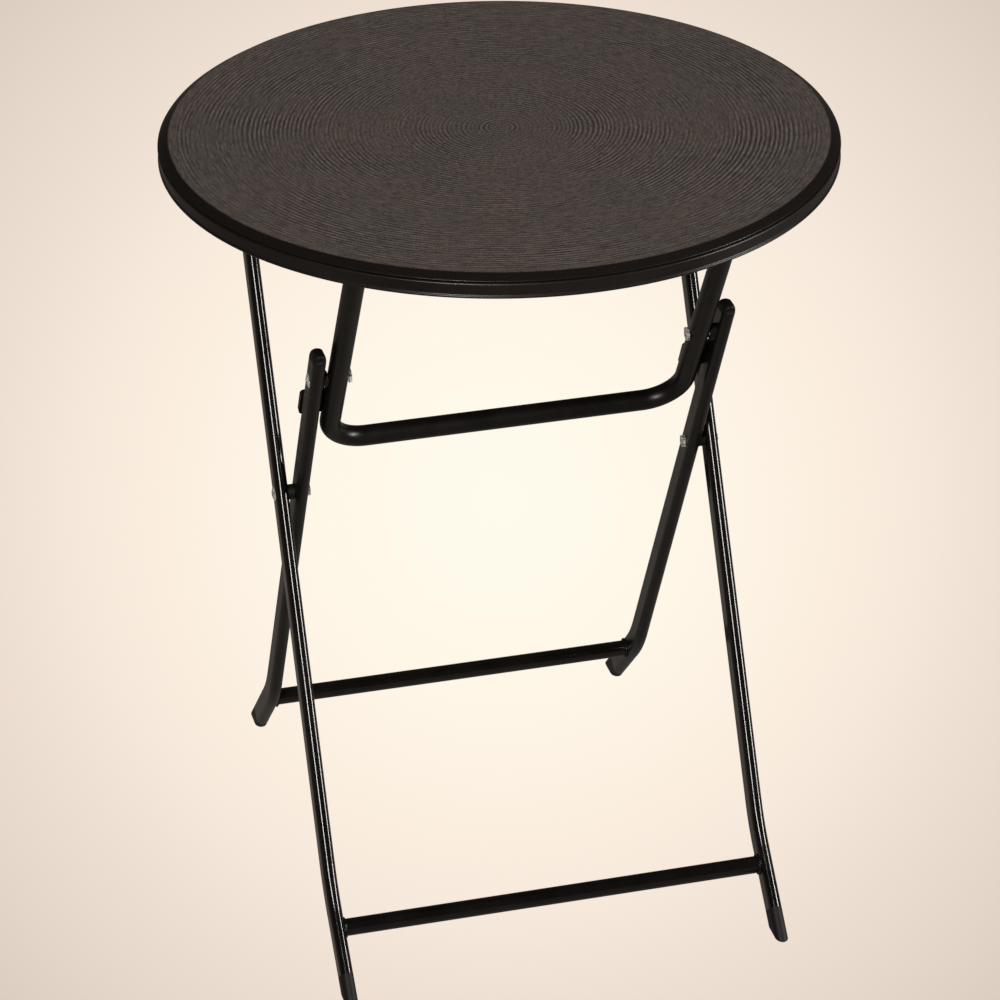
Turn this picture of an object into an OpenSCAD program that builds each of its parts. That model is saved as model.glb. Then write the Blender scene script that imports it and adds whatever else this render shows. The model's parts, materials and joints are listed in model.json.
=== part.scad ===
// Round folding table: a moulded top on two crossed steel leg frames.
// X runs across the table, +Y to the rear, +Z up; the floor is z = 0 under the centre of the top.
// Points in the side view are [y, z] pairs, and a lean is measured from the vertical, upwards to the rear.

/* [Top] */
// Diameter of the round top
top_d = 600; // [580:1:640]
// Height of the top surface above the floor
top_h = 740; // [738:1:750]
// Height of the whole rim
rim_h = 20.3; // [18:0.1:24]
// Wall of the moulded panel and shell
moulded_wall = 3; // [2.5:0.1:4]

/* [Legs] */
// Thickness of the flat-oval leg tube, across the table
leg_t = 12; // [11:0.5:12]
// Depth of the flat-oval leg tube
leg_d = 24; // [20:1:26]
// Wall of the steel tubes
tube_wall = 1.2; // [1:0.1:1.5]
// Angle of both leg frames from the vertical
leg_lean = 27.9; // [27:0.1:28.5]
// Angle of the feet from the vertical
foot_lean = 45; // [40:1:48]
// Radius of the bend above each foot
foot_bend_r = 150; // [120:5:160]
// Distance from the centre of the table to an outer leg
outer_x = 204; // [204:1:210]
// Distance from the centre of the table to an inner leg
inner_x = 186; // [186:1:186]
// Diameter of the two crossbars
crossbar_d = 16; // [14:1:18]

/* [Linkage] */
// Height of the crossing pivot of the leg frames
cross_z = 395; // [393:1:397]
// Distance from the crossing pivot up to the brace pivot
brace_pivot_up = 175; // [174:1:176]
// Height of the hinges under the top
hinge_z = 690; // [689:1:692]
// Diameter of the pivot bolts
bolt_d = 8; // [7:0.5:8]
// Radial running clearance of a pivot
running_gap = 0.05; // [0.02:0.01:0.08]

/* [Brace] */
// Outer diameter of the brace tube
brace_d = 19; // [18:0.5:19]
// Distance from the centre of the table to an arm of the brace
brace_x = 165.5; // [164:0.5:165.5]
// Distance from the brace pivot down to the bar of the brace
brace_drop = 107; // [104:1:112]
// Centre radius of the two brace bends
brace_bend_r = 36; // [30:1:40]

/* [Hidden] */

$fn = 96;
LEFT = -1;
RIGHT = 1;
STEEL = "#1b1918";
MOULDED = "#4a4440";
PLASTIC = "#201d1c";
ZINC = "#b9b6ae";
FAR = 2000;

// Rim, as depths below the top surface
top_r = top_d / 2;
bevel_in = 9.5;
bevel_drop = 4.8;
panel_lip = 5.6;
panel_overhang = 1.8;
shell_top = 6.2;
rim_bottom_z = top_h - rim_h;
shell_plate_z = rim_bottom_z + moulded_wall;
rib_radii = [70, 140, 215, 262];
rib_t = 2.5;

// Linkage points in the side view
cross = [13, cross_z];
function along(p, lean, dist) = p + dist * [sin(lean), cos(lean)];
brace_pivot = along(cross, -leg_lean, brace_pivot_up);
rear_hinge = along(cross, leg_lean, (hinge_z - cross_z) / cos(leg_lean));
hinge_rise = hinge_z - brace_pivot[1];
// Lean of the brace at which all four links fold into one flat line
flat_k = brace_pivot_up * (1 + sin(leg_lean)) - (hinge_z - cross_z) * (1 - sin(leg_lean)) / cos(leg_lean);
brace_lean = 90 - 2 * atan(flat_k / hinge_rise);
brace_reach = hinge_rise / cos(brace_lean);
front_hinge = along(brace_pivot, -brace_lean, brace_reach);

// Legs: distances down from the crossing pivot to where the foot line meets the leg line
outer_knee = 364;
inner_knee = 354;
outer_bar_past_knee = 38;
inner_bar_past_knee = 31;
kick = foot_lean - leg_lean;
knee_tangent = foot_bend_r * tan(kick / 2);
// How far a straight length runs on into a bend, how far past its turn a bend runs, and its fuller section
seam_lap = 2.5;
bend_over = 0.5;
bend_swell = 0.1;
foot_cap_len = 22;
plug_len = 18;
plug_gap = 0.15;
outer_top = norm(rear_hinge - cross) + 14;
inner_cut_up = 30.7;
inner_cut_z = along(brace_pivot, -leg_lean, inner_cut_up)[1];
dome_r = 13.8;
dome_sink = 3.3;

// Fasteners
face_gap = 0.3;
head_d = 13.5;
head_h = 2.2;
cross_nut_across = 11;
cross_nut_h = 2.6;
brace_nut_across = 12;
brace_nut_h = 2;
spacer_d = 14;
pin_head_h = 3;
screw_d = 4;
screw_head_d = 8.4;
screw_head_h = 2.3;
screw_len = 12;
boss_d = 12;
boss_h = 14;

// Brackets
bracket_t = 4;
bracket_base_t = 2.5;
bracket_half = 22;
bracket_base = 32;
bracket_nose_r = 11;
bracket_gap = 0.5;
screw_inset = 12;
screw_spread = 13;
front_ear_x = brace_x - brace_d / 2 - bracket_gap - bracket_t;
rear_ear_x = outer_x - leg_t / 2 - bracket_gap - bracket_t;

// Stop plates, as distances below the brace pivot and behind the inner leg's centre line
plate_up = 38;
plate_down = 69;
plate_t = 5;
plate_inner_x = brace_x - brace_d / 2 + 5;
plate_outer_x = inner_x + 7;
plate_front = leg_d / 2 + 0.2;
plate_corner_r = 4;

brace_end_up = brace_reach + 11;

// ---- Shared shapes ----

// Flat-oval section: thickness along X, depth along Y
module oval(t, d) {
    square([t, d - t], center = true);
    for (s = [-1, 1]) translate([0, s * (d - t) / 2]) circle(d = t);
}

// Straight stretch of leg, going down from the current place
module oval_down(len, t, d) {
    translate([0, 0, -len]) linear_extrude(len) oval(t, d);
}

// Bend of leg, going down from the current place and turning towards -Y, a little past the turn at each end
module oval_bend(t, d) {
    translate([0, -foot_bend_r, 0]) rotate([90, 0, 0]) rotate([0, 90, 0]) rotate([0, 0, bend_over])
        rotate_extrude(angle = -kick - 2 * bend_over) translate([foot_bend_r, 0]) rotate(90) oval(t, d);
}

// Places its children after the bend, with -Z along the foot
module after_bend() {
    translate([0, -foot_bend_r, 0]) rotate([-kick, 0, 0]) translate([0, foot_bend_r, 0]) children();
}

// Places its children at the start of the bend, in the leg's own frame
module at_knee(knee) {
    translate([0, 0, -(knee - knee_tangent)]) children();
}

// A leg frame's own frame: the crossing pivot is the origin and +Z runs up the leg
module outer_frame(side) {
    translate([side * outer_x, cross[0], cross[1]]) rotate([-leg_lean, 0, 0]) children();
}

module inner_frame(side) {
    translate([side * inner_x, cross[0], cross[1]]) mirror([0, 1, 0]) rotate([-leg_lean, 0, 0]) children();
}

module above_floor() {
    difference() {
        children();
        translate([-FAR / 2, -FAR / 2, -FAR]) cube([FAR, FAR, FAR]);
    }
}

// Distance along the foot line from the end of the bend to the floor
function foot_run(knee) = (cross_z - knee * cos(leg_lean)) / cos(foot_lean) - knee_tangent;

// Solid leg of a given section, from a height above the crossing pivot to a distance along the foot.
// The section is fuller in the bend by a given swell.
module leg_blank(up, knee, run, t, d, swell) {
    at_knee(knee) {
        translate([0, 0, -seam_lap]) linear_extrude(up + knee - knee_tangent + seam_lap) oval(t, d);
        oval_bend(t + swell, d + swell);
        after_bend() translate([0, 0, seam_lap]) oval_down(run + seam_lap, t, d);
    }
}

module leg_tube(up, knee) {
    run = foot_run(knee) - foot_cap_len;
    difference() {
        leg_blank(up, knee, run, leg_t, leg_d, bend_swell);
        leg_blank(up + 1, knee, run + 1, leg_t - 2 * tube_wall, leg_d - 2 * tube_wall, -bend_swell);
    }
}

// Solid straight foot, which the crossbar is cut to fit
module foot_blank(knee) {
    at_knee(knee) after_bend() translate([0, 0, 5]) oval_down(foot_run(knee), leg_t, leg_d);
}

// Cross hole through anything at one pivot, along X
module pivot_hole(p, d) {
    translate([-FAR / 2, p[0], p[1]]) rotate([0, 90, 0]) cylinder(h = FAR, d = d);
}

// Round piece along X, from x0 outwards to x1 on one side of the table
module x_round(side, p, x0, x1, d) {
    translate([side > 0 ? x0 : -x1, p[0], p[1]]) rotate([0, 90, 0]) cylinder(h = x1 - x0, d = d);
}

// Shallow domed bolt head, its flat face at x0 and its crown at x0 + h, or inwards when h is negative
module x_head(side, p, x0, h, d) {
    sphere_r = (d * d / 4 + h * h) / (2 * abs(h));
    dir = side * sign(h);
    translate([side * x0, p[0], p[1]]) rotate([0, 90 * dir, 0])
        intersection() {
            cylinder(h = abs(h) + 1, d = d);
            translate([0, 0, abs(h) - sphere_r]) sphere(r = sphere_r);
        }
}

module x_nut(side, p, x0, x1, across) {
    translate([side > 0 ? x0 : -x1, p[0], p[1]]) rotate([0, 90, 0])
        cylinder(h = x1 - x0, d = across / cos(30), $fn = 6);
}

module x_ring(side, p, x0, x1, d, hole) {
    difference() {
        x_round(side, p, x0, x1, d);
        pivot_hole(p, hole);
    }
}

bore = bolt_d + 2 * running_gap;

// ---- Top ----

module top_panel() {
    color(MOULDED) rotate_extrude($fn = 240) translate([0, top_h])
        polygon([
            [0, 0],
            [top_r - bevel_in, 0],
            [top_r - panel_overhang, -bevel_drop],
            [top_r - panel_overhang, -panel_lip],
            [top_r - 12, -panel_lip],
            [top_r - 12, -moulded_wall],
            [0, -moulded_wall]
        ]);
}

module shell_screw_points() {
    for (side = [LEFT, RIGHT]) {
        for (spot = [[front_ear_x, front_hinge], [rear_ear_x, rear_hinge]])
            for (s = [-1, 1])
                translate([side * (spot[0] - screw_inset), spot[1][0] + s * screw_spread, 0]) children();
    }
}

module under_shell() {
    color(MOULDED) difference() {
        union() {
            rotate_extrude($fn = 240) translate([0, top_h])
                polygon([
                    [0, -rim_h],
                    [top_r - 0.8, -rim_h],
                    [top_r, -rim_h + 0.8],
                    [top_r, -rim_h + 2],
                    [top_r - 0.9, -rim_h + 3],
                    [top_r, -shell_top - 1],
                    [top_r - 0.9, -shell_top],
                    [top_r - 4, -shell_top],
                    [top_r - 4, -panel_lip],
                    [top_r - 9, -panel_lip],
                    [top_r - 9, -panel_lip - 2],
                    [top_r - 4, -panel_lip - 2],
                    [top_r - 4, -rim_h + moulded_wall],
                    [0, -rim_h + moulded_wall]
                ]);
            for (r = rib_radii)
                rotate_extrude($fn = 240)
                    translate([r, shell_plate_z]) square([rib_t, rim_h - 2 * moulded_wall]);
            shell_screw_points() translate([0, 0, rim_bottom_z + 1]) cylinder(h = boss_h - 1, d = boss_d);
        }
        shell_screw_points() translate([0, 0, rim_bottom_z - 1]) cylinder(h = screw_len + 1, d = screw_d + 0.1);
    }
}

// ---- Brackets under the top ----

// Point where a line from [w, h] touches a circle of radius r about the origin
function touch(w, h, r) =
    let (turn = atan2(h, w) - acos(r / norm([w, h])))
    [r * cos(turn), r * sin(turn)];

module bracket(side, ear_x, hinge, hole) {
    h = rim_bottom_z - hinge[1];
    t = touch(bracket_half, h, bracket_nose_r);
    difference() {
        union() {
            translate([side > 0 ? ear_x : -ear_x - bracket_t, hinge[0], hinge[1]])
                rotate([90, 0, 90]) linear_extrude(bracket_t) {
                    circle(r = bracket_nose_r);
                    polygon([[bracket_half, h], [-bracket_half, h], [-t[0], t[1]], [0, 0], [t[0], t[1]]]);
                }
            translate([side > 0 ? ear_x - bracket_base : -ear_x, hinge[0] - bracket_half,
                rim_bottom_z - bracket_base_t])
                cube([bracket_base, 2 * bracket_half, bracket_base_t]);
        }
        pivot_hole(hinge, hole);
        for (s = [-1, 1])
            translate([side * (ear_x - screw_inset), hinge[0] + s * screw_spread, rim_bottom_z - 5])
                cylinder(h = 10, d = screw_d + 0.4);
    }
}

module rear_bracket(side) {
    color(STEEL) bracket(side, rear_ear_x, rear_hinge, bolt_d);
}

module front_bracket(side) {
    color(STEEL) bracket(side, front_ear_x, front_hinge, bolt_d);
}

// Stud held in the rear bracket: it ends just short of the leg, where the linkage is opened
module rear_hinge_stud(side) {
    color(ZINC) {
        x_head(side, rear_hinge, rear_ear_x, -pin_head_h, head_d);
        x_round(side, rear_hinge, rear_ear_x, rear_ear_x + bracket_t, bolt_d);
    }
}

// Pin held in the front bracket, on which an arm of the brace turns
module front_hinge_pin(side) {
    color(ZINC) {
        x_head(side, front_hinge, front_ear_x, -pin_head_h, head_d);
        x_round(side, front_hinge, front_ear_x, brace_x + brace_d / 2, bolt_d);
    }
}

module bracket_screws() {
    base_z = rim_bottom_z - bracket_base_t;
    color(ZINC) shell_screw_points() {
        translate([0, 0, base_z - screw_head_h]) cylinder(h = screw_head_h, d1 = screw_head_d - 2, d2 = screw_head_d);
        translate([0, 0, base_z]) cylinder(h = screw_len - 1, d = screw_d);
    }
}

// ---- Outer leg frame ----

module outer_leg(side) {
    color(STEEL) difference() {
        outer_frame(side) leg_tube(outer_top, outer_knee);
        pivot_hole(cross, bore);
        pivot_hole(rear_hinge, bore);
    }
}

module crossbar(half_len, knee, past) {
    at_knee(knee) after_bend()
        translate([0, 0, -(past - knee_tangent)]) rotate([0, 90, 0]) translate([0, 0, -half_len])
            difference() {
                cylinder(h = 2 * half_len, d = crossbar_d);
                translate([0, 0, -1]) cylinder(h = 2 * half_len + 2, d = crossbar_d - 2 * tube_wall);
            }
}

module outer_crossbar() {
    color(STEEL) difference() {
        translate([-outer_x, 0, 0]) outer_frame(RIGHT) crossbar(outer_x, outer_knee, outer_bar_past_knee);
        for (side = [LEFT, RIGHT]) outer_frame(side) foot_blank(outer_knee);
    }
}

module foot_cap(knee) {
    at_knee(knee) after_bend() {
        translate([0, 0, -(foot_run(knee) - foot_cap_len)]) {
            oval_down(2 * foot_cap_len, leg_t, leg_d);
            translate([0, 0, plug_len])
                oval_down(plug_len, leg_t - 2 * tube_wall - plug_gap, leg_d - 2 * tube_wall - plug_gap);
        }
    }
}

module outer_foot_cap(side) {
    color(PLASTIC) above_floor() outer_frame(side) foot_cap(outer_knee);
}

module outer_end_plug(side) {
    plug_down = 6;
    color(PLASTIC) outer_frame(side) {
        translate([0, 0, outer_top + 3]) oval_down(3, leg_t, leg_d);
        translate([0, 0, outer_top])
            oval_down(plug_down, leg_t - 2 * tube_wall - plug_gap, leg_d - 2 * tube_wall - plug_gap);
    }
}

// Bolt held in the outer leg: its shank stops at the leg's inner face
module rear_hinge_bolt(side) {
    color(ZINC) {
        x_head(side, rear_hinge, outer_x + leg_t / 2, head_h, head_d);
        x_round(side, rear_hinge, outer_x - leg_t / 2 + 0.1, outer_x + leg_t / 2, bolt_d);
    }
}

module crossing_bolt(side) {
    color(ZINC) {
        x_head(side, cross, outer_x + leg_t / 2, head_h, head_d);
        x_round(side, cross, inner_x - leg_t / 2 - face_gap - cross_nut_h, outer_x + leg_t / 2, bolt_d);
    }
}

module crossing_spacer(side) {
    color(PLASTIC) x_ring(side, cross, inner_x + leg_t / 2 + face_gap, outer_x - leg_t / 2, spacer_d, bore);
}

module crossing_nut(side) {
    x1 = inner_x - leg_t / 2 - face_gap;
    color(ZINC) difference() {
        x_nut(side, cross, x1 - cross_nut_h, x1, cross_nut_across);
        pivot_hole(cross, bolt_d);
    }
}

// ---- Inner leg frame ----

module inner_leg(side) {
    color(STEEL) difference() {
        inner_frame(side) leg_tube(brace_pivot_up + 60, inner_knee);
        translate([-FAR / 2, -FAR / 2, inner_cut_z]) cube([FAR, FAR, FAR]);
        pivot_hole(cross, bore);
        pivot_hole(brace_pivot, bore);
    }
}

module inner_crossbar() {
    color(STEEL) difference() {
        translate([-inner_x, 0, 0]) inner_frame(RIGHT) crossbar(inner_x, inner_knee, inner_bar_past_knee);
        for (side = [LEFT, RIGHT]) inner_frame(side) foot_blank(inner_knee);
    }
}

module inner_foot_cap(side) {
    color(PLASTIC) above_floor() inner_frame(side) foot_cap(inner_knee);
}

// Domed cap on the level-cut upper end, with a plug down inside the tube
module inner_end_cap(side) {
    crown = along(brace_pivot, -leg_lean, inner_cut_up);
    color(PLASTIC) {
        intersection() {
            inner_frame(side) translate([0, 0, brace_pivot_up + 90]) oval_down(90, leg_t, leg_d);
            translate([-FAR / 2, crown[0], crown[1] - dome_sink]) rotate([0, 90, 0]) cylinder(h = FAR, r = dome_r);
            translate([-FAR / 2, -FAR / 2, inner_cut_z]) cube([FAR, FAR, FAR]);
        }
        intersection() {
            inner_frame(side) translate([0, 0, brace_pivot_up + 90])
                oval_down(74, leg_t - 2 * tube_wall - plug_gap, leg_d - 2 * tube_wall - plug_gap);
            translate([-FAR / 2, -FAR / 2, inner_cut_z + 1 - FAR]) cube([FAR, FAR, FAR]);
        }
    }
}

module brace_bolt(side) {
    color(ZINC) {
        x_head(side, brace_pivot, inner_x + leg_t / 2, head_h, head_d);
        x_round(side, brace_pivot, brace_x - brace_d / 2 - face_gap - brace_nut_h - 0.4, inner_x + leg_t / 2, bolt_d);
    }
}

module brace_spacer(side) {
    color(PLASTIC)
        x_ring(side, brace_pivot, brace_x + brace_d / 2 + face_gap, inner_x - leg_t / 2, spacer_d, bore);
}

module brace_nut(side) {
    x1 = brace_x - brace_d / 2 - face_gap;
    color(ZINC) difference() {
        x_nut(side, brace_pivot, x1 - brace_nut_h, x1, brace_nut_across);
        pivot_hole(brace_pivot, bolt_d);
    }
}

// ---- Brace ----

// The brace's own frame: the brace pivot is the origin and +Z runs up its arms
module brace_frame() {
    translate([0, brace_pivot[0], brace_pivot[1]]) rotate([brace_lean, 0, 0]) children();
}

module brace_tube(d) {
    straight_down = brace_drop - brace_bend_r;
    for (side = [LEFT, RIGHT]) {
        translate([side * brace_x, 0, -straight_down]) cylinder(h = straight_down + brace_end_up, d = d);
        translate([side * (brace_x - brace_bend_r), 0, -straight_down])
            rotate([90, 0, 0]) rotate(side > 0 ? -90 : 180)
                rotate_extrude(angle = 90) translate([brace_bend_r, 0]) circle(d = d);
    }
    translate([-(brace_x - brace_bend_r), 0, -brace_drop]) rotate([0, 90, 0])
        cylinder(h = 2 * (brace_x - brace_bend_r), d = d);
}

module u_brace() {
    color(STEEL) difference() {
        brace_frame() difference() {
            brace_tube(brace_d);
            brace_tube(brace_d - 2 * tube_wall);
            for (side = [LEFT, RIGHT])
                translate([side * brace_x, 0, brace_end_up - 1]) cylinder(h = 3, d = brace_d - 2 * tube_wall);
        }
        pivot_hole(brace_pivot, bore);
        pivot_hole(front_hinge, bore);
    }
}

// Plate welded behind each arm, which hooks behind the inner leg and stops the brace
module stop_plate(side) {
    width = plate_outer_x - plate_inner_x;
    height = plate_down - plate_up;
    color(STEEL) difference() {
        translate([side * plate_inner_x, brace_pivot[0], brace_pivot[1]]) rotate([leg_lean, 0, 0])
            translate([0, plate_front + plate_t, -plate_down]) rotate([90, 0, 0])
                linear_extrude(plate_t) {
                    translate([side > 0 ? 0 : -width, plate_corner_r]) square([width, height - 2 * plate_corner_r]);
                    translate([side > 0 ? plate_corner_r : plate_corner_r - width, 0])
                        square([width - 2 * plate_corner_r, height]);
                    for (x = [plate_corner_r, width - plate_corner_r])
                        for (z = [plate_corner_r, height - plate_corner_r])
                            translate([side * x, z]) circle(r = plate_corner_r);
                }
        brace_frame() brace_tube(brace_d);
    }
}

module brace_end_plug(side) {
    color(PLASTIC) brace_frame() translate([side * brace_x, 0, brace_end_up]) {
        cylinder(h = 2, d = brace_d);
        translate([0, 0, -5]) cylinder(h = 5, d = brace_d - 2 * tube_wall - plug_gap);
    }
}

// ---- Parts ----

top_panel();
under_shell();
rear_bracket(LEFT);  // left_rear_bracket
rear_bracket(RIGHT);  // right_rear_bracket
front_bracket(LEFT);  // left_front_bracket
front_bracket(RIGHT);  // right_front_bracket
rear_hinge_stud(LEFT);  // left_rear_hinge_stud
rear_hinge_stud(RIGHT);  // right_rear_hinge_stud
front_hinge_pin(LEFT);  // left_front_hinge_pin
front_hinge_pin(RIGHT);  // right_front_hinge_pin
bracket_screws();
outer_leg(LEFT);  // left_outer_leg
outer_leg(RIGHT);  // right_outer_leg
outer_crossbar();
outer_foot_cap(LEFT);  // left_outer_foot_cap
outer_foot_cap(RIGHT);  // right_outer_foot_cap
outer_end_plug(LEFT);  // left_outer_end_plug
outer_end_plug(RIGHT);  // right_outer_end_plug
rear_hinge_bolt(LEFT);  // left_rear_hinge_bolt
rear_hinge_bolt(RIGHT);  // right_rear_hinge_bolt
crossing_bolt(LEFT);  // left_crossing_bolt
crossing_bolt(RIGHT);  // right_crossing_bolt
crossing_spacer(LEFT);  // left_crossing_spacer
crossing_spacer(RIGHT);  // right_crossing_spacer
crossing_nut(LEFT);  // left_crossing_nut
crossing_nut(RIGHT);  // right_crossing_nut
inner_leg(LEFT);  // left_inner_leg
inner_leg(RIGHT);  // right_inner_leg
inner_crossbar();
inner_foot_cap(LEFT);  // left_inner_foot_cap
inner_foot_cap(RIGHT);  // right_inner_foot_cap
inner_end_cap(LEFT);  // left_inner_end_cap
inner_end_cap(RIGHT);  // right_inner_end_cap
brace_bolt(LEFT);  // left_brace_bolt
brace_bolt(RIGHT);  // right_brace_bolt
brace_spacer(LEFT);  // left_brace_spacer
brace_spacer(RIGHT);  // right_brace_spacer
brace_nut(LEFT);  // left_brace_nut
brace_nut(RIGHT);  // right_brace_nut
u_brace();
stop_plate(LEFT);  // left_stop_plate
stop_plate(RIGHT);  // right_stop_plate
brace_end_plug(LEFT);  // left_brace_end_plug
brace_end_plug(RIGHT);  // right_brace_end_plug
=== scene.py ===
"""Looks of the round folding table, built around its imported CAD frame. Metres, same frame as the CAD."""

import json
import math

import bmesh
import bpy
import numpy as np
from mathutils import Matrix, Vector, noise


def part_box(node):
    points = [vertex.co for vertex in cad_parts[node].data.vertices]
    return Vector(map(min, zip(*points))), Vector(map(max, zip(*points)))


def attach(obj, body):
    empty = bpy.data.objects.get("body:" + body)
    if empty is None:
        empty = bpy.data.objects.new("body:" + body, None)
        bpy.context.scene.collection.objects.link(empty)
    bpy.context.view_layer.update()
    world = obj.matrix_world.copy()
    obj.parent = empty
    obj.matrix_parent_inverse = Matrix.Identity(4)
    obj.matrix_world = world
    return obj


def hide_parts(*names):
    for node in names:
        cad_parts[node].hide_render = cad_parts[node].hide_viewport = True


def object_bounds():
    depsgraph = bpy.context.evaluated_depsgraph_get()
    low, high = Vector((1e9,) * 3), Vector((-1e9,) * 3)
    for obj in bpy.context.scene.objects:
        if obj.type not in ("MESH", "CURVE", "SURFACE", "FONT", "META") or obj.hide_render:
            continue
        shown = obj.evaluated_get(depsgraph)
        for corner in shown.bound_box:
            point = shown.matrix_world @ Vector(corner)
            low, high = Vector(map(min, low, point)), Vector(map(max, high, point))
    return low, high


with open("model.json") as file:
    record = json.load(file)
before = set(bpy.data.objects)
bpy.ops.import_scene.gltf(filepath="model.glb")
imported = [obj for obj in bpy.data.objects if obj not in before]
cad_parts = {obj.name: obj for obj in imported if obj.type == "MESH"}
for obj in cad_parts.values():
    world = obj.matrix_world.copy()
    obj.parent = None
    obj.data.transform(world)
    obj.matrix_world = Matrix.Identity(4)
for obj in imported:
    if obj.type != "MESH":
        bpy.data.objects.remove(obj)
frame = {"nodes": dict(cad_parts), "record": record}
cad_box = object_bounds()
scene = bpy.context.scene
MM = 0.001

# ---------------------------------------------------------------- materials

RIM_DARK = (0.0068, 0.0052, 0.0043)
RIM_LIGHT = (0.0092, 0.0071, 0.006)
COAT_BLACK = (0.0034, 0.003, 0.0028)
COAT_BROWN = (0.006, 0.005, 0.0045)
FACE_WARM = (0.0715, 0.0545, 0.048)
FACE_GREY = (0.0625, 0.052, 0.046)
FACE_END = 0.2898
RIM_START = 0.2912
STREAKS_ACROSS = 800.0
STREAKS_AROUND = 20.0
# How strongly the ring valleys are darkened as painted shade and the ring crests lightened as painted light.
GROOVE_PAINTED_SHADE = 0.62


class Nodes:
    """A material's node tree with short ways to add and join nodes."""

    def __init__(self, name):
        self.material = bpy.data.materials.new(name)
        self.material.use_nodes = True
        self.tree = self.material.node_tree
        self.tree.nodes.clear()

    def add(self, kind, inputs=(), **settings):
        node = self.tree.nodes.new(kind)
        for key, value in settings.items():
            setattr(node, key, value)
        for key, value in dict(inputs).items():
            if isinstance(value, bpy.types.NodeSocket):
                self.tree.links.new(value, node.inputs[key])
            else:
                node.inputs[key].default_value = value
        return node

    def math(self, operation, a, b=0.0, clamp=False):
        node = self.add("ShaderNodeMath", {0: a, 1: b}, operation=operation, use_clamp=clamp)
        return node.outputs[0]

    def ramp(self, value, low, high, to_low=0.0, to_high=1.0):
        node = self.add(
            "ShaderNodeMapRange",
            {"Value": value, "From Min": low, "From Max": high, "To Min": to_low, "To Max": to_high},
        )
        return node.outputs["Result"]

    def mix_color(self, share, a, b):
        node = self.add("ShaderNodeMix", {0: share}, data_type="RGBA")
        for socket, value in ((node.inputs[6], a), (node.inputs[7], b)):
            if isinstance(value, bpy.types.NodeSocket):
                self.tree.links.new(value, socket)
            else:
                socket.default_value = (*value, 1.0)
        return node.outputs[2]

    def noise(self, vector, scale, detail=2.0, roughness=0.5):
        node = self.add(
            "ShaderNodeTexNoise",
            {"Vector": vector, "Scale": scale, "Detail": detail, "Roughness": roughness},
        )
        return node.outputs["Fac"]

    def seen_or_lit(self, seen, lit):
        """One strength where the surface is looked at, another where it lights or is mirrored."""
        straight = self.add("ShaderNodeLightPath").outputs["Is Camera Ray"]
        return self.ramp(straight, 0.0, 1.0, lit, seen)

    def place(self):
        return self.add("ShaderNodeTexCoord").outputs["Object"]

    def finish(self, inputs):
        shader = self.add("ShaderNodeBsdfPrincipled", inputs)
        self.add("ShaderNodeOutputMaterial", {"Surface": shader.outputs[0]})
        return self.material


def powder_coat(name, roughness, peel_strength, ior=1.5):
    """Black powder coat: a faint orange peel, and clouds of slightly duller and browner coat."""
    n = Nodes(name)
    place = n.place()
    peel = n.noise(place, 380.0, 3.0, 0.55)
    cloud = n.noise(place, 26.0, 4.0, 0.6)
    bump = n.add("ShaderNodeBump", {"Strength": peel_strength, "Distance": 0.00005, "Height": peel})
    return n.finish(
        {
            "Base Color": n.mix_color(n.ramp(cloud, 0.35, 0.65), COAT_BLACK, COAT_BROWN),
            "Roughness": n.ramp(cloud, 0.3, 0.7, roughness - 0.03, roughness + 0.05),
            "Normal": bump.outputs[0],
            "IOR": ior,
        }
    )


def moulded_black(name):
    """Dull black plastic of the caps, plugs and spacers, with a fine moulded grain."""
    n = Nodes(name)
    place = n.place()
    grain = n.noise(place, 1500.0, 3.0, 0.6)
    cloud = n.noise(place, 60.0, 3.0)
    bump = n.add("ShaderNodeBump", {"Strength": 0.3, "Distance": 0.00006, "Height": grain})
    return n.finish(
        {
            "Base Color": n.mix_color(cloud, (0.003, 0.0026, 0.0024), (0.0062, 0.0052, 0.0047)),
            "Roughness": n.ramp(grain, 0.3, 0.7, 0.5, 0.64),
            "Normal": bump.outputs[0],
            "IOR": 1.38,
        }
    )


def zinc_plate(name):
    """Frosted zinc plate with dark specks and a faint brushing across the hardware."""
    n = Nodes(name)
    place = n.place()
    stretched = n.add("ShaderNodeMapping", {"Vector": place, "Scale": (1.0, 0.15, 0.15)})
    brushed = n.noise(stretched.outputs[0], 2200.0, 2.0)
    spots = n.noise(place, 520.0, 4.0, 0.65)
    relief = n.math("ADD", brushed, spots)
    bump = n.add("ShaderNodeBump", {"Strength": 0.4, "Distance": 0.00008, "Height": relief})
    return n.finish(
        {
            "Base Color": n.mix_color(n.ramp(spots, 0.49, 0.57), (0.93, 0.92, 0.89), (0.09, 0.08, 0.07)),
            "Metallic": 0.4,
            "Roughness": n.ramp(spots, 0.3, 0.7, 0.28, 0.45),
            "Normal": bump.outputs[0],
        }
    )


def smooth_resin(name):
    """Dark smooth resin of the rim and the underside."""
    n = Nodes(name)
    place = n.place()
    cloud = n.noise(place, 16.0, 4.0, 0.6)
    grain = n.noise(place, 1300.0, 3.0, 0.6)
    bump = n.add("ShaderNodeBump", {"Strength": 0.25, "Distance": 0.00006, "Height": grain})
    return n.finish(
        {
            "Base Color": n.mix_color(n.ramp(cloud, 0.35, 0.65), RIM_DARK, RIM_LIGHT),
            "Roughness": n.ramp(cloud, 0.3, 0.7, 0.3, 0.4),
            "Normal": bump.outputs[0],
            "IOR": 1.4,
        }
    )


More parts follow.
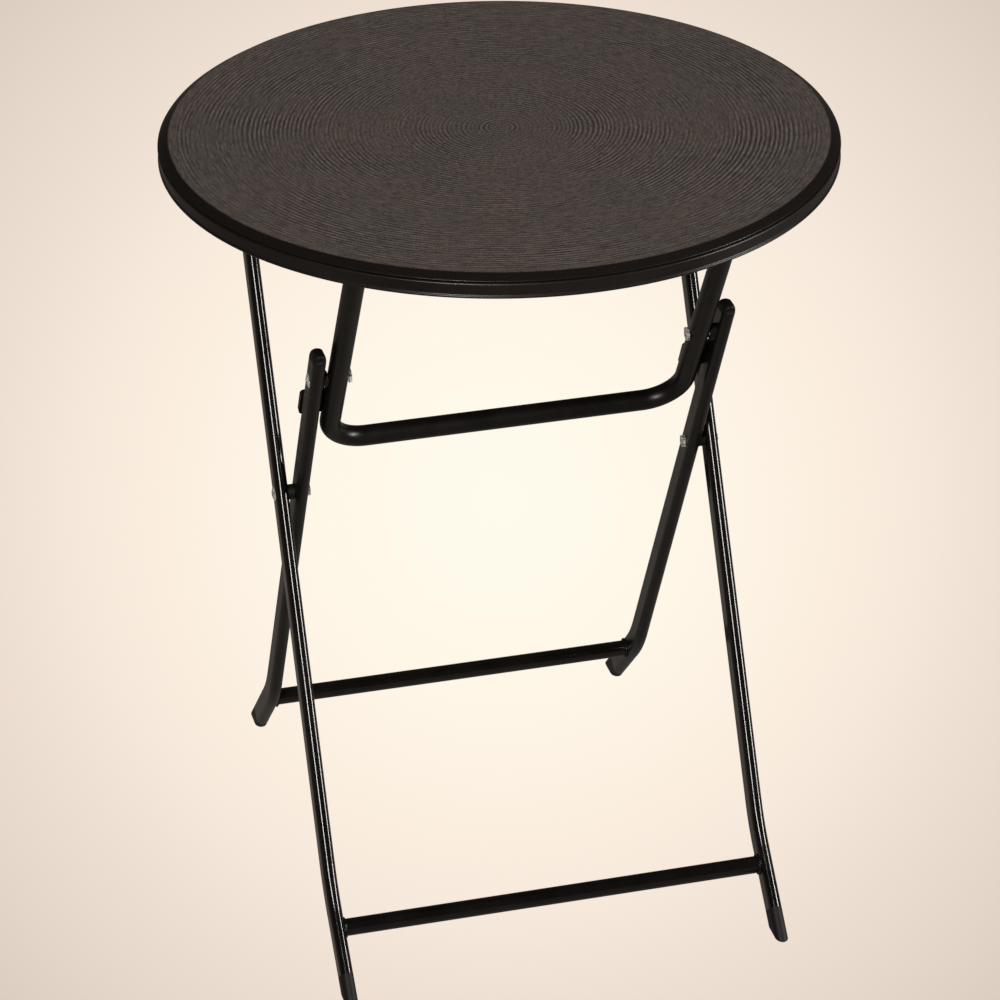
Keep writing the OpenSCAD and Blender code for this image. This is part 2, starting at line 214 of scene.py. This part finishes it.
def ringed_resin(name):
    """Charcoal-brown resin with a linen grain that also runs round the centre. The attribute "groove" is
    positive in the valleys between the rings; there the colour is darkened as painted shade, and on the
    crests it is lightened as painted light. Past the flat face the resin is the rim's smooth one."""
    n = Nodes(name)
    place = n.place()
    split = n.add("ShaderNodeSeparateXYZ", {0: place})
    x, y, z = split.outputs[0], split.outputs[1], split.outputs[2]
    radius = n.math("SQRT", n.math("ADD", n.math("MULTIPLY", x, x), n.math("MULTIPLY", y, y)))
    angle = n.math("ARCTAN2", y, x)
    across = n.math("MULTIPLY", radius, STREAKS_ACROSS)
    along = n.math("MULTIPLY", angle, STREAKS_AROUND)
    polar = n.add("ShaderNodeCombineXYZ", {0: across, 1: along, 2: z})
    streak = n.noise(polar.outputs[0], 1.0, 3.0, 0.6)
    weave = n.noise(place, 560.0, 2.0, 0.75)
    cloud = n.noise(place, 11.0, 4.0, 0.6)
    height = n.math("ADD", n.math("MULTIPLY", streak, 0.7), n.math("MULTIPLY", weave, 0.5))
    rim = n.ramp(radius, FACE_END, RIM_START)
    tone = n.mix_color(n.ramp(cloud, 0.38, 0.62), FACE_WARM, FACE_GREY)
    grain = n.ramp(height, 0.49, 0.71, 0.58, 1.42)
    groove = n.add("ShaderNodeAttribute", attribute_name="groove").outputs["Fac"]
    # Painted shade and painted light: the colour is darkened in the ring valleys and lightened on the crests.
    groove_painted_shade = n.math("MULTIPLY", groove, GROOVE_PAINTED_SHADE)
    shade = n.math("MULTIPLY", grain, n.math("SUBTRACT", 1.0, groove_painted_shade))
    toned = n.add("ShaderNodeVectorMath", {0: tone}, operation="SCALE")
    n.tree.links.new(shade, toned.inputs["Scale"])
    color = n.mix_color(rim, toned.outputs[0], RIM_DARK)
    bumped = n.math("MULTIPLY", height, n.math("SUBTRACT", 1.0, rim))
    bump = n.add("ShaderNodeBump", {"Strength": 0.35, "Distance": 0.0003, "Height": bumped})
    dullness = n.ramp(weave, 0.3, 0.7, 0.66, 0.8)
    return n.finish(
        {
            "Base Color": color,
            "Roughness": n.math("SUBTRACT", dullness, n.math("MULTIPLY", rim, 0.38)),
            "Normal": bump.outputs[0],
            "IOR": 1.38,
        }
    )


GLOSS_STEEL = powder_coat("gloss_powder_coat", 0.12, 0.025)
SATIN_STEEL = powder_coat("satin_powder_coat", 0.3, 0.15, 1.4)
PLASTIC = moulded_black("black_cap_plastic")
ZINC = zinc_plate("zinc_plated_hardware")
TOP = ringed_resin("ringed_resin")
SHELL = smooth_resin("smooth_resin")
LOOKS = {
    "moulded_top": SHELL,
    "black_steel": SATIN_STEEL,
    "black_plastic": PLASTIC,
    "zinc_hardware": ZINC,
}

GLOSSY_NODES = ("left_outer_leg", "right_outer_leg", "outer_crossbar", "inner_crossbar")

for part in frame["record"]["subparts"]:
    mesh = frame["nodes"][part["node"]].data
    mesh.materials.clear()
    glossy = part["node"] in GLOSSY_NODES
    mesh.materials.append(GLOSS_STEEL if glossy else LOOKS[part["material_slot"]])

# ---------------------------------------------------------------- tools for pieces


def add_piece(name, verts, faces, material, body, smooth=True):
    mesh = bpy.data.meshes.new(name)
    mesh.from_pydata([tuple(v) for v in verts], [], [tuple(f) for f in faces])
    mesh.update()
    bm = bmesh.new()
    bm.from_mesh(mesh)
    bmesh.ops.recalc_face_normals(bm, faces=bm.faces)
    bm.to_mesh(mesh)
    bm.free()
    mesh.polygons.foreach_set("use_smooth", [smooth] * len(mesh.polygons))
    mesh.materials.append(material)
    piece = bpy.data.objects.new(name, mesh)
    scene.collection.objects.link(piece)
    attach(piece, body)
    return piece


def spun(profile, segments, sink=None):
    """Vertices and faces of a closed profile of (r, z) points in millimetres, turned about Z.
    The first and last points lie on the axis. sink(r, z, angle) is how far a point lies below the profile."""
    inner = profile[1:-1]
    verts = [(0.0, 0.0, profile[0][1] * MM), (0.0, 0.0, profile[-1][1] * MM)]
    turns = [2 * math.pi * i / segments for i in range(segments)]
    for r, z in inner:
        for a in turns:
            depth = sink(r, z, a) if sink else 0.0
            verts.append((r * math.cos(a) * MM, r * math.sin(a) * MM, (z - depth) * MM))
    faces = []
    last = len(inner) - 1
    for i in range(segments):
        j = (i + 1) % segments
        faces.append((0, 2 + i, 2 + j))
        faces.append((1, 2 + last * segments + j, 2 + last * segments + i))
        for k in range(last):
            a, b = 2 + k * segments, 2 + (k + 1) * segments
            faces.append((a + i, b + i, b + j, a + j))
    return verts, faces


def rounded(points, radius, steps=4):
    """The same polyline with its inner corners rounded."""
    out = [points[0]]
    for before, at, after in zip(points, points[1:], points[2:]):
        p, a, b = Vector(at), Vector(before), Vector(after)
        to_a, to_b = (a - p), (b - p)
        reach = min(radius, to_a.length * 0.45, to_b.length * 0.45)
        start, end = p + to_a.normalized() * reach, p + to_b.normalized() * reach
        for i in range(steps + 1):
            t = i / steps
            out.append(tuple(start * (1 - t) ** 2 + p * (2 * t * (1 - t)) + end * t * t))
    out.append(points[-1])
    return out


# ---------------------------------------------------------------- round top

TOP_Z = cad_box[1].z / MM
TOP_R = 300.0
RING_PITCH = 4.0
RING_END = 284.0
RING_DEPTH = 0.42
RIM_H = 20.3
TURNS = 224


def ring_at(r, z, angle):
    """The fine rings at a point: how strong they are, and how far down the valley it is, each from 0 to 1."""
    if z < TOP_Z - 0.5 or r > RING_END:
        return 0.0, 0.0
    x, y = r * math.cos(angle), r * math.sin(angle)
    patch = noise.noise(Vector((x / 55, y / 55, 3.7)))
    band = noise.noise(Vector((r / 9.0, 0.0, 9.1)))
    strength = min(max(0.62 + 1.0 * patch + 0.6 * band, 0.12), 1.0) * min(1.0, (RING_END - r) / 3.0)
    sideways = 1.3 * noise.noise(Vector((x / 70, y / 70, 20.5)))
    drift = sideways + 2.4 * noise.noise(Vector((r / 16.0, 0.0, 5.3)))
    wave = math.cos(2 * math.pi * r / RING_PITCH + drift)
    return strength, 0.5 - 0.5 * math.copysign(abs(wave) ** 0.8, wave)


def ring_depth(r, z, angle):
    strength, valley = ring_at(r, z, angle)
    return RING_DEPTH * strength * valley


def make_top():
    panel = [(r, TOP_Z) for r in np.arange(0.0, RING_END + 0.01, RING_PITCH / 6)]
    edge = rounded(
        [
            (RING_END + 1.5, TOP_Z),
            (290.5, TOP_Z),
            (298.2, TOP_Z - 4.8),
            (298.2, TOP_Z - 5.6),
            (288.0, TOP_Z - 5.6),
            (288.0, TOP_Z - 3.0),
        ],
        0.9,
    )
    profile = panel + edge + [(0.0, TOP_Z - 3.0)]
    verts, faces = spun(profile, TURNS, ring_depth)
    piece = add_piece("ringed_top_panel", verts, faces, TOP, "tabletop")
    # The groove values drive painted shade in the ring valleys and painted light on the ring crests.
    grooves = []
    for x, y, z in verts:
        strength, valley = ring_at(math.hypot(x, y) / MM, z / MM + RING_DEPTH, math.atan2(y, x))
        grooves.append(strength * (2 * valley - 1))
    piece.data.attributes.new("groove", "FLOAT", "POINT").data.foreach_set("value", grooves)
    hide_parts("top_panel")


def make_shell():
    base = TOP_Z - RIM_H
    rim = rounded(
        [
            (270.0, base),
            (299.2, base),
            (TOP_R, base + 0.9),
            (TOP_R, base + 2.1),
            (299.0, base + 3.1),
            (299.95, TOP_Z - 7.3),
            (299.0, TOP_Z - 6.25),
            (296.0, TOP_Z - 6.25),
            (296.0, TOP_Z - 5.7),
            (291.0, TOP_Z - 5.7),
            (291.0, TOP_Z - 7.6),
            (296.0, TOP_Z - 7.6),
            (296.0, base + 3.0),
        ],
        0.7,
    )
    profile = [(0.0, base)] + rim + [(0.0, base + 3.0)]
    verts, faces = spun(profile, TURNS)
    piece = add_piece("moulded_under_shell", verts, faces, SHELL, "tabletop")
    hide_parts("under_shell")


make_top()
make_shell()

# ---------------------------------------------------------------- end caps of the inner legs

LEG_LEAN = math.radians(27.9)
LEG_T = 0.012
LEG_D = 0.024
CAP_H = 0.0102
PLUG_R = 0.0046
PLUG_DEPTH = 0.014
CHAMFER_FROM = 0.0058
CHAMFER_SLOPE = 1.6
PLATE_BACK = -0.0086


def leaning_oval(center_y, h, r, half_length, steps=14):
    """Level slice, at height h over the cut, of an oval that leans forward with the leg."""
    points = []
    for i in range(2 * steps + 2):
        end = 1 if i <= steps else -1
        a = math.pi * (i if i <= steps else i - 1) / steps
        y = (end * half_length + r * math.sin(a)) / math.cos(LEG_LEAN)
        points.append((r * math.cos(a), center_y + y - h * math.tan(LEG_LEAN), h))
    return points


def clear_of_plate(dy, dz):
    """A cap point, from the middle of the cut, moved back where the folded stop plate would touch it."""
    lean_cos, lean_sin = math.cos(LEG_LEAN), math.sin(LEG_LEAN)
    v, w = dy * lean_cos + dz * lean_sin, dz * lean_cos - dy * lean_sin
    if w > CHAMFER_FROM:
        v = max(v, min(CHAMFER_SLOPE * (w - CHAMFER_FROM) - LEG_D / 2, PLATE_BACK))
    return v * lean_cos - w * lean_sin, v * lean_sin + w * lean_cos


def domed_cap(side):
    """Plastic cap on the cut end of an inner leg: a plug in the tube and a thumb-shaped dome over it."""
    low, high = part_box(f"{side}_inner_leg")
    center_x, cut_z = (low[0] + high[0]) / 2, high[2]
    center_y = low[1] + LEG_D / 2 / math.cos(LEG_LEAN)
    edge_r, straight = LEG_T / 2, (LEG_D - LEG_T) / 2
    slices = [
        (-PLUG_DEPTH, PLUG_R, straight),
        (0.0001, PLUG_R, straight),
        (0.0001, edge_r - 0.0002, straight),
    ]
    for i in range(13):
        a = math.radians(88 * i / 12)
        height = 0.0003 + CAP_H * math.sin(a)
        slices.append((height, edge_r * math.cos(a) ** 0.55, straight * math.cos(a) ** 0.8))
    verts, faces = [], []
    for h, r, half_length in slices:
        for x, y, z in leaning_oval(0.0, h, r, half_length):
            dy, dz = clear_of_plate(y, z)
            verts.append((center_x + x, center_y + dy, cut_z + dz))
    count = len(verts) // len(slices)
    for k in range(len(slices) - 1):
        for i in range(count):
            j = (i + 1) % count
            a, b = k * count, (k + 1) * count
            faces.append((a + i, a + j, b + j, b + i))
    faces.append(tuple(range(count - 1, -1, -1)))
    faces.append(tuple(range(len(verts) - count, len(verts))))
    piece = add_piece(f"{side}_domed_end_cap", verts, faces, PLASTIC, "inner_legs")
    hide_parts(f"{side}_inner_end_cap")


for side_name in ("left", "right"):
    domed_cap(side_name)

# ---------------------------------------------------------------- weld beads

BEAD_R = 0.0014


def weld_bead(name, center, face_x, bar_r, body):
    """A ring of weld where a crossbar butts against the flat inner side of a leg."""
    around, across = 72, 10
    inward = -1 if face_x > 0 else 1
    verts, faces = [], []
    for i in range(around):
        a = 2 * math.pi * i / around
        lumps = noise.noise(Vector((3 * math.cos(a), 3 * math.sin(a), face_x * 40)))
        ripple = 0.22 * math.sin(23 * a) + 0.5 * lumps
        bead = BEAD_R * (1 + ripple * 0.45)
        for j in range(across):
            b = 2 * math.pi * j / across
            r = bar_r + bead * 0.35 + bead * math.cos(b)
            x = face_x + inward * bead * (0.3 + math.sin(b))
            verts.append((x, center.y + r * math.cos(a), center.z + r * math.sin(a)))
            k, m = (i + 1) % around, (j + 1) % across
            faces.append((i * across + j, k * across + j, k * across + m, i * across + m))
    add_piece(name, verts, faces, SATIN_STEEL, body)


def make_welds():
    for frame_name in ("outer", "inner"):
        low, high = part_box(f"{frame_name}_crossbar")
        center = (Vector(low) + Vector(high)) / 2
        bar_r = (high[2] - low[2]) / 2
        for side, corner in (("left", 1), ("right", 0)):
            face_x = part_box(f"{side}_{frame_name}_leg")[corner][0]
            weld_bead(f"{side}_{frame_name}_weld", center, face_x, bar_r, f"{frame_name}_legs")


make_welds()

# ---------------------------------------------------------------- stage, light and camera

ELEVATION = math.radians(29.117)
AZIMUTH = math.radians(14.503)
ROLL = math.radians(-0.317)
CAMERA_AT = Vector((-0.8399, -3.2427, 2.2306))
FOCAL_PIXELS = 4157.36
SENSOR = 36.0
FLOOR_GLOW = 0.22
POOL_REACH = 0.2165
POOL_CENTER = (0.991, 0.965, 0.84)
POOL_STOPS = ((0.28, (0.985, 0.896, 0.776)), (0.5, (0.896, 0.783, 0.68)), (0.75, (0.735, 0.635, 0.55)))
POOL_EDGE = (0.64, 0.55, 0.475)
WORLD_LIGHT = 0.04
MIDDLE = Vector((0.0, 0.0, 0.5))
LAMP_COLOR = (1.0, 0.97, 0.93)
OVERHEAD = (0.1, 0.7, 1.0)
OVERHEAD_SIZE = (3.6, 3.6)
STRIP_SIZE = (0.38, 1.9)
STRIP_RADIANCE = 40.0

scene.view_settings.view_transform = "Standard"

forward = Vector(
    (math.sin(AZIMUTH) * math.cos(ELEVATION), math.cos(AZIMUTH) * math.cos(ELEVATION), -math.sin(ELEVATION))
)
level = Vector((math.cos(AZIMUTH), -math.sin(AZIMUTH), 0.0))
upward = level.cross(forward)
right = level * math.cos(ROLL) + upward * math.sin(ROLL)
up = upward * math.cos(ROLL) - level * math.sin(ROLL)

camera_data = bpy.data.cameras.new("camera")
camera_data.sensor_width = SENSOR
camera_data.lens = FOCAL_PIXELS * SENSOR / 1000
camera_data.clip_end = 60.0
camera = bpy.data.objects.new("camera", camera_data)
turn = Matrix((right, up, -forward)).transposed()
camera.matrix_world = Matrix.Translation(CAMERA_AT) @ turn.to_4x4()
scene.collection.objects.link(camera)
scene.camera = camera


def pale_stage():
    """A round floor that turns up into a low wall, so that no view shows its edge. Its glow is painted: it
    falls off with the angle from the axis of the camera at rest, and stays put when the camera moves."""
    n = Nodes("pale_paper")
    ray = n.add("ShaderNodeVectorMath", {0: n.place(), 1: CAMERA_AT}, operation="SUBTRACT").outputs[0]
    depth = n.add("ShaderNodeVectorMath", {0: ray, 1: forward}, operation="DOT_PRODUCT").outputs["Value"]
    unit = n.add("ShaderNodeVectorMath", {0: ray}, operation="SCALE")
    n.tree.links.new(n.math("DIVIDE", 1.0, depth), unit.inputs["Scale"])
    off_axis = n.add("ShaderNodeVectorMath", {0: unit.outputs[0], 1: forward}, operation="DISTANCE")
    ramp = n.add("ShaderNodeValToRGB", {"Fac": n.math("DIVIDE", off_axis.outputs["Value"], POOL_REACH)})
    ramp.color_ramp.interpolation = "CARDINAL"
    stops = ramp.color_ramp.elements
    stops[0].position, stops[0].color = 0.0, (*POOL_CENTER, 1.0)
    stops[1].position, stops[1].color = 1.0, (*POOL_EDGE, 1.0)
    for position, color in POOL_STOPS:
        stops.new(position).color = (*color, 1.0)
    strength = n.seen_or_lit(1.0, FLOOR_GLOW)
    glow = n.add("ShaderNodeEmission", {"Color": ramp.outputs[0], "Strength": strength})
    n.add("ShaderNodeOutputMaterial", {"Surface": glow.outputs[0]})

    profile = [(0.0, 0.0), (9.0, 0.0)]
    for i in range(1, 9):
        a = math.radians(90 * i / 8)
        profile.append((9.0 + 0.8 * math.sin(a), 0.8 - 0.8 * math.cos(a)))
    segments = 96
    verts, faces = [(0.0, 0.0, 0.0)], []
    for r, z in profile[1:]:
        turns = [2 * math.pi * i / segments for i in range(segments)]
        verts += [(r * math.cos(a), r * math.sin(a), z) for a in turns]
    for i in range(segments):
        j = (i + 1) % segments
        faces.append((0, 1 + i, 1 + j))
        for k in range(len(profile) - 2):
            a, b = 1 + k * segments, 1 + (k + 1) * segments
            faces.append((a + i, b + i, b + j, a + j))
    mesh = bpy.data.meshes.new("floor")
    mesh.from_pydata(verts, [], faces)
    mesh.polygons.foreach_set("use_smooth", [True] * len(mesh.polygons))
    mesh.materials.append(n.material)
    floor = bpy.data.objects.new("floor", mesh)
    scene.collection.objects.link(floor)


pale_stage()


def studio_world():
    """Dim all round, so that the black tubes stay black, and pale only where it is looked at."""
    world = bpy.data.worlds.new("studio")
    world.use_nodes = True
    tree = world.node_tree
    straight = tree.nodes.new("ShaderNodeLightPath").outputs["Is Camera Ray"]
    strength = tree.nodes.new("ShaderNodeMapRange")
    strength.inputs["To Min"].default_value = WORLD_LIGHT
    tree.links.new(straight, strength.inputs["Value"])
    background = tree.nodes["Background"]
    background.inputs["Color"].default_value = (0.86, 0.77, 0.66, 1.0)
    tree.links.new(strength.outputs[0], background.inputs["Strength"])
    scene.world = world


def aimed_light(name, direction, distance, size, radiance, mirrored=True):
    """An area light that faces the table, as bright as a mirror would show it. One that isn't mirrored lights
    dull surfaces only."""
    at = MIDDLE + Vector(direction).normalized() * distance
    data = bpy.data.lights.new(name, "AREA")
    data.shape = "RECTANGLE"
    data.size, data.size_y = size
    data.energy = radiance * math.pi * size[0] * size[1]
    data.color = LAMP_COLOR
    lamp = bpy.data.objects.new(name, data)
    lamp.location = at
    lamp.visible_glossy = mirrored
    lamp.rotation_mode = "QUATERNION"
    lamp.rotation_quaternion = (MIDDLE - at).to_track_quat("-Z", "Y")
    scene.collection.objects.link(lamp)


studio_world()
aimed_light("overhead_softbox", OVERHEAD, 3.2, OVERHEAD_SIZE, 1.5, mirrored=False)
aimed_light("overhead_gleam", OVERHEAD, 3.2, OVERHEAD_SIZE, 0.22)
aimed_light("strip_left_front", (-0.416, -0.804, 0.4255), 3.5, STRIP_SIZE, STRIP_RADIANCE)
aimed_light("strip_right", (0.864, -0.445, 0.235), 3.5, STRIP_SIZE, STRIP_RADIANCE)
